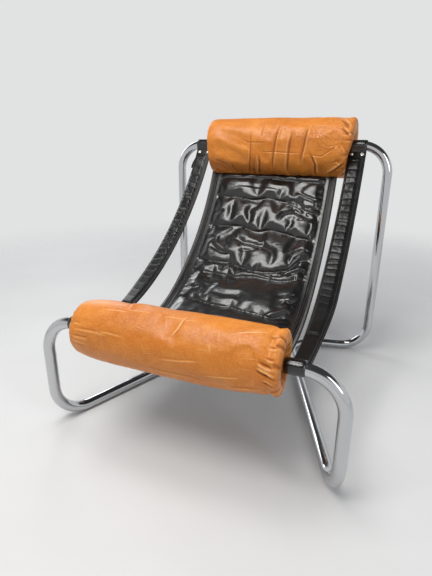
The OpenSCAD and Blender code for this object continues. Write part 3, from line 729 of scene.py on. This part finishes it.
def make_facing(side):
    name = "facing_left" if side < 0 else "facing_right"
    width = 0.0365
    start, end = 0.20, STRAP.length - 0.043
    s, w = np.meshgrid(np.linspace(start, end, 900), np.linspace(0, 1, 37), indexing="ij")
    creases = CREASES_LEFT if side < 0 else CREASES_RIGHT
    rng = np.random.default_rng(5 if side < 0 else 8)
    height = np.full(s.shape, 0.4)
    crease = np.zeros(s.shape)
    lines = []
    for place, _ in creases:
        tilt, bend = rng.uniform(-2.5, 2.5), rng.uniform(-2.0, 2.0)
        lines.append(place + tilt * (2 * w - 1) + bend * (4 * (w - 0.5) ** 2 - 0.5))
    lines.append(np.full(s.shape, end * 1000 + 4))
    for (place, high), low_line, high_line in zip(creases, lines[:-1], lines[1:]):
        t = (s * 1000 - low_line) / (high_line - low_line)
        inside = (t >= 0) & (t <= 1)
        tc = np.clip(t, 0, 1)
        flat = (1 - np.abs(2 * tc - 1) ** 3.2) ** 0.8
        lean = 0.62 + 0.38 * tc + 0.12 * np.sin(5 * w + place)
        height = np.where(inside, 0.4 + high * 0.86 * flat * lean, height)
        crease = np.maximum(crease, np.exp(-((s * 1000 - low_line) / 1.5) ** 2) * min(1, high / 2.5))
    where = np.stack([w * 36, s * 1000, np.zeros(s.shape)], -1)
    rough = 0.22 if side < 0 else 0.34
    height = height + rough * fractal(where, 12, 9 + side, 2) * smooth(s, 0.3, 0.45)
    height = np.maximum(height, 0.15)
    edge = smooth(np.minimum(w, 1 - w), 0.0, 0.2)
    ends = smooth(s, start, start + 0.012) * smooth(s, end, end - 0.01)
    top = STRAP_TOP + 0.0006 + (0.0012 + height * 0.001 * (0.3 + 0.7 * edge)) * np.minimum(1, 0.35 + edge) * ends
    shrink = (width + 0.8 * (strap_outer(s) - STRAP_IN - STRAP_W)) / width
    if side > 0:
        x = STRAP_IN + 0.0033 + w * width * shrink
    else:
        x = -(STRAP_IN + 0.0133) - (1 - w) * width * shrink
    crown = STRAP.point(x, s, top)
    base = [STRAP.point(x[:, k], s[:, k], STRAP_TOP) for k in (-1, 0)]
    ring = np.concatenate([crown, np.stack(base, 1)], 1)
    pad = np.zeros((len(s), 2))
    parts = Parts()
    # painted highlight: the higher a pleat stands, the lighter its top is marked
    parts.add(ring, wrap=True, caps=True, crease=np.concatenate([crease * edge, pad], 1),
              rub=np.concatenate([np.clip(height / 6, 0, 1) * 0.4, pad], 1))
    return parts.build(name, PLEAT_BLACK)


def make_strap_threads():
    rows = []
    for side in (-1, 1):
        s = np.arange(0.06, STRAP.length - 0.045, 0.0043)
        n = np.column_stack([np.zeros(len(s)), STRAP.normal(s)])
        # the plain edge is the viewer's right one on both straps
        for inset in (0.0028, 0.0085):
            x = strap_outer(s) - inset if side > 0 else np.full(s.shape, -(STRAP_IN + inset))
            rows.append((STRAP.point(x, s, STRAP_TOP), n))
        x = np.full(s.shape, STRAP_IN + 0.0016) if side > 0 else -(strap_outer(s) - 0.0016)
        rows.append((STRAP.point(x, s, STRAP_TOP), n))
    return thread("strap_stitches", rows, THREAD, 0.0032, 0.0004)


def make_rivets(name, bar, front, width, pitch):
    """Capped rivets through both straps, set square to the leather, with a thin rim round the dome of each head."""
    s = STRAP.clear_of(bar, LOOP_R / math.sin(LOOP_HALF) + 0.0045, front)
    n = STRAP.normal(np.array([s]))[0]
    up, side_way = np.array([0.0, n[0], n[1]]), np.array([0.0, n[1], -n[0]])
    dome = [(0.0001, 0.0028), (0.0012, 0.00272), (0.0024, 0.0024), (0.0034, 0.0018), (0.0041, 0.0010),
            (0.0043, 0.0006), (0.0047, 0.00055), (0.0052, 0.0006), (0.0054, 0.0004), (0.0054, 0.0)]
    shank, seat = 0.0018, 0.0022
    stem = [(shank, seat), (shank, -seat)]
    profile = [(r, seat + h) for r, h in dome] + stem + [(r, -seat - h) for r, h in dome[::-1]]
    turn = np.linspace(0, 2 * math.pi, 29)[:-1, None]
    circle = np.cos(turn) * np.array([1.0, 0, 0]) + np.sin(turn) * side_way
    parts = Parts()
    for side in (-1, 1):
        for shift in (-pitch / 2, pitch / 2):
            middle = STRAP.point(side * (STRAP_IN + width / 2) + shift, s)
            parts.add(np.stack([middle + up * h + r * circle for r, h in profile]), wrap=True, caps=True, flip=True)
    return parts.build(name, RIVET)


# ---- rolls

def stadium(a, b, angle):
    c, q = np.abs(np.cos(angle)), np.abs(np.sin(angle))
    flat = a * q <= (b - a) * c
    return np.where(flat, a / np.maximum(c, 1e-6), (b - a) * q + np.sqrt(np.maximum(a * a - ((b - a) * c) ** 2, 0)))


def end_profile(round_r, dish, puff, count=46):
    """Depth in from the end plane and share of the section, from inside the bar's hole out to the barrel."""
    keys = np.array([
        (dish + 0.016, 0.0), (dish + 0.004, 0.0), (dish, 0.03), (dish * 0.8, 0.12), (dish * 0.35, 0.3),
        (-puff * 0.7, 0.5), (-puff, 0.68), (-puff * 0.35, 0.84), (round_r * 0.16, 0.945), (round_r * 0.55, 0.99),
        (round_r, 1.0)])
    t = np.concatenate([[0], np.cumsum(np.hypot(np.diff(keys[:, 0]) / 0.07, np.diff(keys[:, 1])))])
    fine = np.linspace(0, t[-1], count)
    depth, share = np.interp(fine, t, keys[:, 0]), np.interp(fine, t, keys[:, 1])
    kernel = np.array([1, 3, 5, 3, 1]) / 13
    for _ in range(2):
        depth[2:-2], share[2:-2] = np.convolve(depth, kernel, "valid"), np.convolve(share, kernel, "valid")
    return depth, share


def make_roll(name, bar, middle, a, b, left, right, folds, seed, exit_dir, wander, shape, gathers, shift, strips,
              craze_at, wear_and_highlight_depth=2.2, scratches=0):
    """left and right: (end plane as a function of the angle, rounding, dish, puff).
    shape gives the barrel's fullness along x."""
    angles = np.linspace(0, 2 * math.pi, 421)[:-1]
    degrees = np.degrees(angles)[None]
    full = stadium(a, b, angles)
    hole = LOOP_R + 0.0004
    depth_l, share_l = end_profile(*left[1:])
    depth_r, share_r = end_profile(*right[1:])
    plane_l, plane_r = left[0](angles), right[0](angles)
    start, stop = plane_l + left[1], plane_r - right[1]
    barrel = np.linspace(0, 1, 262)[1:-1]
    x = np.array([plane_l + d for d in depth_l] + [start + (stop - start) * t for t in barrel]
                 + [plane_r - d for d in depth_r[::-1]])
    share = np.concatenate([share_l, np.ones(len(barrel)), share_r[::-1]])[:, None] * np.ones(len(angles))
    reach = hole + (full - hole) * share
    reach = reach * (1 + (shape(x) - 1) * share)
    centre = bar + (middle - bar) * share[..., None]
    if shift is not None:
        centre = centre + shift(x)[..., None] * np.array([0.0, 1.0]) * share[..., None]
    direction = np.stack([np.cos(angles), np.sin(angles)], 1)[None]
    unit = (a + b) / 2 * 1000 * math.pi / 180
    u = x * 1000
    v = degrees * unit * np.ones(x.shape)
    lift, crease, rub = np.zeros(x.shape), np.zeros(x.shape), np.zeros(x.shape)
    rng = np.random.default_rng(seed)

    def press(points, depth, width, fade, lip, side, dark, pale):
        """Press a fold into the roll: painted shade in its crease, and a pale ridge beside it that is partly wear and
        partly painted highlight.
        """
        value, line = stroke(u, v, points, width, fade, lip, side)
        lift[...] += depth * value
        crease[...] = np.maximum(crease, line * dark)
        rub[...] = np.maximum(rub, np.clip(value, 0, 1) * pale)

    def across(cx, deg, half, turn, jitter):
        return [(cx + half * k * math.cos(turn), deg * unit + half * k * math.sin(turn) + rng.uniform(-jitter, jitter))
                for k in (-1, -0.3, 0.4, 1)]

    for points, depth, width, lip, side in folds:
        points = [(px, deg * unit) for px, deg in points]
        press(points, depth, width, 0.35, lip, side, min(1, depth / 2.0), min(1, depth / wear_and_highlight_depth))
    # slack leather that swells a little between long folds
    for low, high, first, last, amount in strips:
        t = np.clip((u - low) / (high - low), 0, 1)
        zone = smooth(degrees, first, first + 22) * smooth(degrees, last, last - 22)
        lift += amount * np.sin(np.pi * t) ** 0.8 * zone * ((u > low) & (u < high))
    # quiet creases over the sides that the photograph doesn't show
    for _ in range(24):
        deg = rng.uniform(-110, 80) % 360
        cx, half = rng.uniform(-190, 190), rng.uniform(14, 60)
        turn = rng.uniform(-0.5, 0.5) if rng.random() < 0.45 else rng.uniform(1.1, 1.9)
        points = across(cx, deg, half, turn, 3)
        width, side, depth = rng.uniform(2.0, 4.0), rng.choice([-1, 1]), rng.uniform(0.3, 1.1)
        press(points, depth, width, 0.4, 0.7, side, 0.5 * depth, 0.4 * depth)
    # scratches: a pale line on the ridge beside each, partly scratch wear and partly painted highlight
    for _ in range(scratches):
        cx, deg = rng.uniform(-195, 195), rng.uniform(70, 205)
        half, turn = rng.uniform(5, 22), rng.uniform(-0.3, 0.3) if rng.random() < 0.7 else rng.uniform(1.0, 2.1)
        points = across(cx, deg, half, turn, 1.5)
        press(points, 0.28, rng.uniform(0.8, 1.3), 0.4, 0.9, rng.choice([-1, 1]), 0.0, 0.5)
    # gathers: folds that run out of both ends, with painted shade in each fold and a painted highlight on the ridge
    # beside it
    for sign, plane_x, (count, shallow, deep, short, long) in ((-1, plane_l, gathers[0]), (1, plane_r, gathers[1])):
        inward = sign * (plane_x[None] - x) * 1000
        for base in np.linspace(0, 360, count, endpoint=False):
            middle_deg = base + rng.uniform(-9, 9)
            wide, length = rng.uniform(2.4, 5.2), rng.uniform(short, long)
            amount = rng.uniform(shallow, deep)
            drift = rng.uniform(-0.15, 0.15)
            delta = (degrees - middle_deg - drift * inward + 180) % 360 - 180
            fold = np.exp(-(delta / wide) ** 2)
            ridge = np.exp(-((delta - 1.8 * wide) / wide) ** 2)
            band = smooth(share, 0.05, 0.55) * np.exp(-(np.maximum(inward - 6, 0) / length) ** 2)
            lift += amount * band * (0.45 * ridge - fold)
            crease = np.maximum(crease, fold * band * min(1, amount / 2.4))
            rub = np.maximum(rub, ridge * band * min(0.3, amount / 6))
    flat = centre + reach[..., None] * direction
    where = np.concatenate([u[..., None], flat * 1000], -1)
    fine = wander * 0.3 * fractal(where * np.array([0.7, 1, 1]), 24, seed + 2)
    lift += wander * 1.4 * fractal(where, 95, seed + 1, 2) + fine
    # groove where the sling comes out, darkened with painted shade
    out = math.degrees(exit_dir) % 360
    delta = (degrees - out + 180) % 360 - 180
    inside = smooth(SLING_HALF + 0.012 - np.abs(x), 0, 0.012)
    lift -= 9.0 * np.exp(-(delta / 4.2) ** 2) * inside
    crease = np.maximum(crease, np.exp(-(delta / 4.5) ** 2) * inside)
    reach = reach + lift * 0.001 * smooth(share, 0.02, 0.4)
    verts = np.concatenate([x[..., None], centre + reach[..., None] * direction], -1)
    held = np.maximum(smooth(share, 0.9, 0.5), 0.7 * smooth(crease, 0.3, 0.9))
    verts = verts + settle(verts, held, True, 3, -1.2, 0.016, 16, 0.0026, 14.0)
    craze = craze_at(u, degrees * np.ones(x.shape))
    parts = Parts()
    parts.add(verts, wrap=True, flip=True, crease=crease, rub=rub, craze=craze)
    return parts.build(name, TAN)


def plane(sign, near_strap, away, strap_dir, wide=62):
    """End plane of a roll: drawn in beside the strap that passes it, fuller elsewhere."""
    def at(angles):
        delta = (np.degrees(angles - strap_dir) + 180) % 360 - 180
        return sign * (away + (near_strap - away) * np.exp(-(delta / wide) ** 2))
    return at


STRAP_FRONT_DIR = math.atan2(STRAP.t[0][1], STRAP.t[0][0])
STRAP_BACK_DIR = math.atan2(-STRAP.t[-1][1], -STRAP.t[-1][0])
SLING_FRONT_DIR = math.atan2(SLING.t[0][1], SLING.t[0][0])
SLING_BACK_DIR = math.atan2(-SLING.t[-1][1], -SLING.t[-1][0])

# Creases of the rolls, from the photograph: points (x, angle round the roll), depth, width, ridge beside it and its
# side
HEAD_FOLDS = [
    ([(25, 112), (21, 138), (18, 154), (14, 175), (10, 205), (5, 246)], 2.4, 3.6, 0.5, -1),
    ([(70, 128), (66, 155), (61, 175), (59, 200), (55, 231), (62, 258)], 2.6, 3.6, 0.6, 1),
    ([(116, 118), (110, 150), (105, 178), (98, 205), (94, 226)], 2.2, 3.4, 0.7, -1),
    ([(122, 186), (134, 202), (142, 216), (140, 236), (146, 250)], 2.6, 3.6, 0.7, -1),
    ([(-46, 190), (13, 188), (60, 190), (112, 189)], 1.2, 2.2, 0.4, 1),
    ([(-68, 136), (-63, 167), (-63, 201), (-70, 230), (-82, 262)], 1.7, 3.0, 0.5, 1),
    ([(-37, 188), (-33, 215), (-40, 240), (-42, 256)], 2.0, 3.2, 0.7, 1),
    ([(-47, 196), (-54, 230), (-60, 258)], 1.5, 2.6, 0.5, -1),
    ([(-28, 124), (-29, 162)], 1.1, 3.0, 0.5, 1),
    ([(-116, 154), (-70, 168), (-30, 168), (8, 164)], 0.9, 2.2, 0.4, -1),
    ([(108, 192), (160, 197), (181, 186), (215, 168)], 1.2, 2.2, 0.5, 1),
    ([(215, 168), (226, 180), (233, 194)], 1.4, 2.4, 0.5, 1),
    ([(168, 246), (200, 228), (236, 206)], 2.8, 4.0, 0.9, -1),
    ([(186, 214), (206, 206), (222, 216)], 1.5, 2.6, 0.6, 1),
    ([(-203, 203), (-167, 214), (-130, 231), (-112, 244)], 1.0, 2.6, 0.5, 1),
    ([(-128, 209), (-127, 226), (-116, 250)], 1.5, 3.0, 0.7, 1),
    ([(-205, 232), (-180, 244), (-160, 258)], 1.2, 3.0, 0.5, 1),
    ([(196, 108), (218, 122), (236, 142)], 2.8, 4.0, 0.8, -1),
    ([(206, 134), (228, 148), (240, 158)], 2.4, 3.4, 0.8, -1),
    ([(150, 150), (178, 160), (194, 170)], 0.9, 2.2, 0.4, 1),
    ([(128, 142), (150, 132), (190, 136)], 0.8, 2.0, 0.4, 1),
    ([(160, 168), (176, 176), (204, 172)], 0.8, 2.0, 0.4, 1),
    ([(140, 160), (150, 176), (168, 180)], 0.7, 2.0, 0.4, -1),
    ([(-160, 240), (-90, 236), (-20, 240)], 0.8, 3.0, 0.4, 1),
    ([(30, 238), (70, 242), (120, 238)], 0.9, 3.0, 0.4, -1),
]
HEAD_STRIPS = [(-66, -34, 120, 255, 1.1), (-34, 14, 118, 255, 1.0), (14, 62, 116, 255, 1.7), (62, 106, 116, 250, 1.5),
               (106, 142, 118, 240, 1.2)]
BOLSTER_FOLDS = [
    ([(38, 96), (33, 112), (30, 128), (16, 148)], 0.9, 2.0, 1.1, 1),
    ([(192, 156), (212, 162), (226, 166)], 3.0, 3.0, 0.9, 1),
    ([(188, 170), (208, 177), (228, 184)], 3.2, 3.2, 0.9, -1),
    ([(204, 146), (216, 150), (226, 151)], 1.6, 2.4, 0.7, 1),
    ([(200, 190), (214, 194), (226, 198)], 1.6, 2.6, 0.7, -1),
    ([(206, 128), (218, 130), (228, 129)], 1.6, 2.6, 0.7, 1),
    ([(202, 112), (216, 110), (228, 108)], 1.4, 2.6, 0.7, -1),
    ([(-104, 106), (-70, 103), (-39, 103)], 0.5, 1.6, 1.0, 1),
    ([(-24, 106), (20, 104), (73, 105)], 0.5, 1.6, 1.0, 1),
    ([(128, 120), (150, 112), (169, 107), (208, 99)], 0.8, 1.8, 1.1, 1),
    ([(-15, 181), (40, 176), (98, 168)], 0.6, 1.8, 0.9, 1),
    ([(80, 194), (130, 190), (175, 187)], 0.6, 1.8, 0.9, 1),
    ([(-226, 158), (-172, 156), (-112, 158)], 1.0, 2.6, 0.6, 1),
    ([(-224, 173), (-200, 172), (-165, 171)], 1.3, 2.6, 0.6, 1),
    ([(-224, 145), (-190, 147)], 0.9, 2.4, 0.6, 1),
    ([(-220, 189), (-176, 190)], 0.9, 2.6, 0.6, -1),
    ([(-159, 154), (-120, 154), (-76, 156)], 0.6, 1.8, 0.8, 1),
    ([(-160, 112), (-120, 110), (-86, 110)], 0.5, 1.8, 0.8, 1),
    ([(99, 141), (104, 150), (107, 162)], 0.5, 1.8, 0.8, 1),
    ([(-60, 200), (0, 206), (60, 204), (110, 210)], 0.8, 3.0, 0.4, 1),
    ([(120, 214), (170, 208), (215, 206)], 1.0, 2.8, 0.6, 1),
]


def fullness(*keys):
    table = np.array(keys)
    return lambda x: np.interp(x, table[:, 0], table[:, 1])


# ---- assembly

carrier = make_base()
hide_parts("sling_base")

panel = make_panel()
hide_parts("sling_panel", "sling_wadding")

bands = []
for side, node in ((-1, "sling_band_left"), (1, "sling_band_right")):
    band = make_band(side)
    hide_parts(node)
    bands.append(band)

straps, facings = [], []
for side, tail in ((-1, "left"), (1, "right")):
    strap = make_strap(side)
    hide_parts("strap_" + tail)
    straps.append(strap)
    facing = make_facing(side)
    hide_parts("strap_facing_" + tail)
    facings.append(facing)

bolster = make_roll(
    "front_bolster", FRONT_BAR, FRONT_BAR, 0.070, 0.070,
    (plane(-1, 0.2275, 0.2305, STRAP_FRONT_DIR), 0.030, 0.016, 0.001),
    (plane(1, 0.2275, 0.2315, STRAP_FRONT_DIR), 0.008, 0.016, 0.003),
    BOLSTER_FOLDS, 21, SLING_FRONT_DIR, 0.7,
    fullness((-0.232, 0.87), (-0.21, 0.895), (-0.19, 0.93), (-0.17, 0.952), (-0.14, 0.965), (-0.1, 0.98),
             (-0.05, 0.977),
             (0.0, 0.982), (0.05, 0.987), (0.1, 0.98), (0.14, 0.96), (0.17, 0.945), (0.19, 0.937), (0.203, 0.92),
             (0.2115, 0.885), (0.220, 0.912), (0.232, 0.905)),
    ((19, 0.3, 1.1, 5, 20), (14, 1.2, 3.0, 3, 9)),
    lambda x: 0.003 * smooth(x, 0.08, 0.2) - 0.001 * smooth(-x, 0.14, 0.2), (),
    lambda u, deg: 0.25 + 0 * u, 0.7, 34)
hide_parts("bolster_cover", "bolster_foam")

HEAD_MIDDLE = BACK_BAR - np.array([0.010, 0.009])
head = make_roll(
    "head_roll", BACK_BAR, HEAD_MIDDLE, 0.0745, 0.0895,
    (plane(-1, 0.2150, 0.2275, STRAP_BACK_DIR, 130), 0.024, 0.010, 0.001),
    (plane(1, 0.228, 0.246, STRAP_BACK_DIR), 0.012, 0.014, 0.002),
    HEAD_FOLDS, 33, SLING_BACK_DIR, 0.9,
    fullness((-0.235, 0.975), (-0.19, 0.995), (0.0, 1.0), (0.15, 1.0), (0.245, 0.99)),
    ((15, 0.3, 1.2, 5, 18), (13, 0.8, 2.2, 5, 22)), None, HEAD_STRIPS,
    lambda u, deg: 0.3 + 0.7 * smooth(u, 20, 130) * smooth(np.abs(deg - 152), 60, 20))
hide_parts("head_roll_cover", "head_roll_foam")

rivets = []
for node, bar, front, width, pitch in (("back_rivets", BACK_BAR, False, STRAP_W, 0.031),
                                       ("front_rivets", FRONT_BAR, True, STRAP_FRONT_W, 0.022)):
    rivets.append(make_rivets(node + "_capped", bar, front, width, pitch))
    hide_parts(node)

threads = make_sling_threads() + [make_strap_threads()]
for piece in [carrier, panel, bolster, head, *bands, *straps, *facings, *rivets, *threads]:
    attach(piece, ROOT)


# ---- floor, light, camera

def floor_material():
    """Pale floor that fades into the backdrop, so that no horizon shows."""
    m = Nodes(bpy.data.materials.new("floor"))
    m.set("Base Color", m.mix(m.ramp(m.noise(3, 3), 0.3, 0.7), (0.68, 0.68, 0.675), (0.71, 0.71, 0.705)))
    m.set("Roughness", 0.6)
    m.set("Specular IOR Level", 0.25)
    fade = m.ramp(m.add("ShaderNodeVectorMath", "Value", {0: m.place}, operation="LENGTH"), 1.0, 2.9)
    gone = m.math("MULTIPLY", m.math("MULTIPLY", fade, fade), m.ramp(fade, 0, 1, 3, 1))
    m.set("Alpha", m.math("SUBTRACT", 1.0, gone))
    return m.owner


floor = add_mesh("studio_floor", [(-5, -5, 0), (5, -5, 0), (5, 5, 0), (-5, 5, 0)], [(0, 1, 2, 3)], floor_material())

# The camera sees an even pale backdrop; gloss sees it up to a darker ceiling; the rest is lit by a soft sky
PALE = 0.9
sky = Nodes(bpy.data.worlds.new("studio"), "Generated")
bpy.context.scene.world = sky.owner
height = sky.add("ShaderNodeSeparateXYZ", "Z", {0: sky.place})
soft = sky.ramp(height, -0.05, 0.85, 0.04, 0.5, "SMOOTHSTEP")
light = sky.add("ShaderNodeBackground", 0, {"Color": (0.93, 0.95, 1.0), "Strength": soft})
ceiling = sky.ramp(height, 0.3, 0.62, PALE, 0.07, "SMOOTHSTEP")
rays = ("Is Camera Ray", "Is Glossy Ray", "Is Transmission Ray")
seen, glossy, through = (sky.add("ShaderNodeLightPath", ray) for ray in rays)
pale = sky.math("MAXIMUM", sky.math("MULTIPLY", seen, PALE), ceiling)
shown = sky.add("ShaderNodeBackground", 0, {"Color": (0.84, 0.845, 0.85), "Strength": pale})
seen = sky.math("MAXIMUM", sky.math("MAXIMUM", seen, glossy), through)
picked = sky.add("ShaderNodeMixShader", 0, {0: seen, 1: light, 2: shown})
sky.put(sky.tree.nodes["World Output"].inputs["Surface"], picked)


def lamp(name, place, target, size, power, colour=(1, 1, 1), size_y=None):
    data = bpy.data.lights.new(name, "AREA")
    data.energy = power
    data.color = colour
    data.shape = "RECTANGLE" if size_y else "SQUARE"
    data.size = size
    if size_y:
        data.size_y = size_y
    obj = bpy.data.objects.new(name, data)
    bpy.context.scene.collection.objects.link(obj)
    obj.location = place
    obj.rotation_euler = (Vector(target) - Vector(place)).to_track_quat("-Z", "Y").to_euler()


lamp("key", (-0.45, -1.35, 2.45), (0.0, 0.0, 0.4), 1.1, 36, (1.0, 0.99, 0.97))
lamp("top", (-0.45, -0.3, 2.5), (0.0, 0.0, 0.4), 0.8, 18, (1.0, 0.995, 0.98))
lamp("right", (2.3, -1.3, 1.5), (0.0, 0.0, 0.4), 0.7, 15, (0.98, 0.99, 1.0), 1.6)
lamp("back", (-1.9, 1.5, 1.6), (0.0, 0.1, 0.4), 0.7, 12, (0.97, 0.985, 1.0), 1.4)

# The camera, as fitted to the photograph: its turn, its place and its focal length in pixels
AZIMUTH, PITCH, ROLL = 0.392631, 0.332441, 0.004041
PLACE = (0.383757, -1.076291, 0.69297)
FOCAL, PHOTO_HEIGHT = 427.559, 576
data = bpy.data.cameras.new("camera")
camera = bpy.data.objects.new("camera", data)
bpy.context.scene.collection.objects.link(camera)
data.sensor_fit = "VERTICAL"
data.sensor_height = 36.0
data.sensor_width = 27.0
data.lens = FOCAL / PHOTO_HEIGHT * data.sensor_height
forward = Vector((-math.sin(AZIMUTH) * math.cos(PITCH), math.cos(AZIMUTH) * math.cos(PITCH), -math.sin(PITCH)))
right = Vector((math.cos(AZIMUTH), math.sin(AZIMUTH), 0.0))
up = right.cross(forward)
turn = Matrix((right, up, -forward)).transposed()
camera.matrix_world = Matrix.Translation(PLACE) @ turn.to_4x4() @ Matrix.Rotation(ROLL, 4, "Z")
bpy.context.scene.camera = camera
bpy.context.scene.view_settings.view_transform = "Standard"
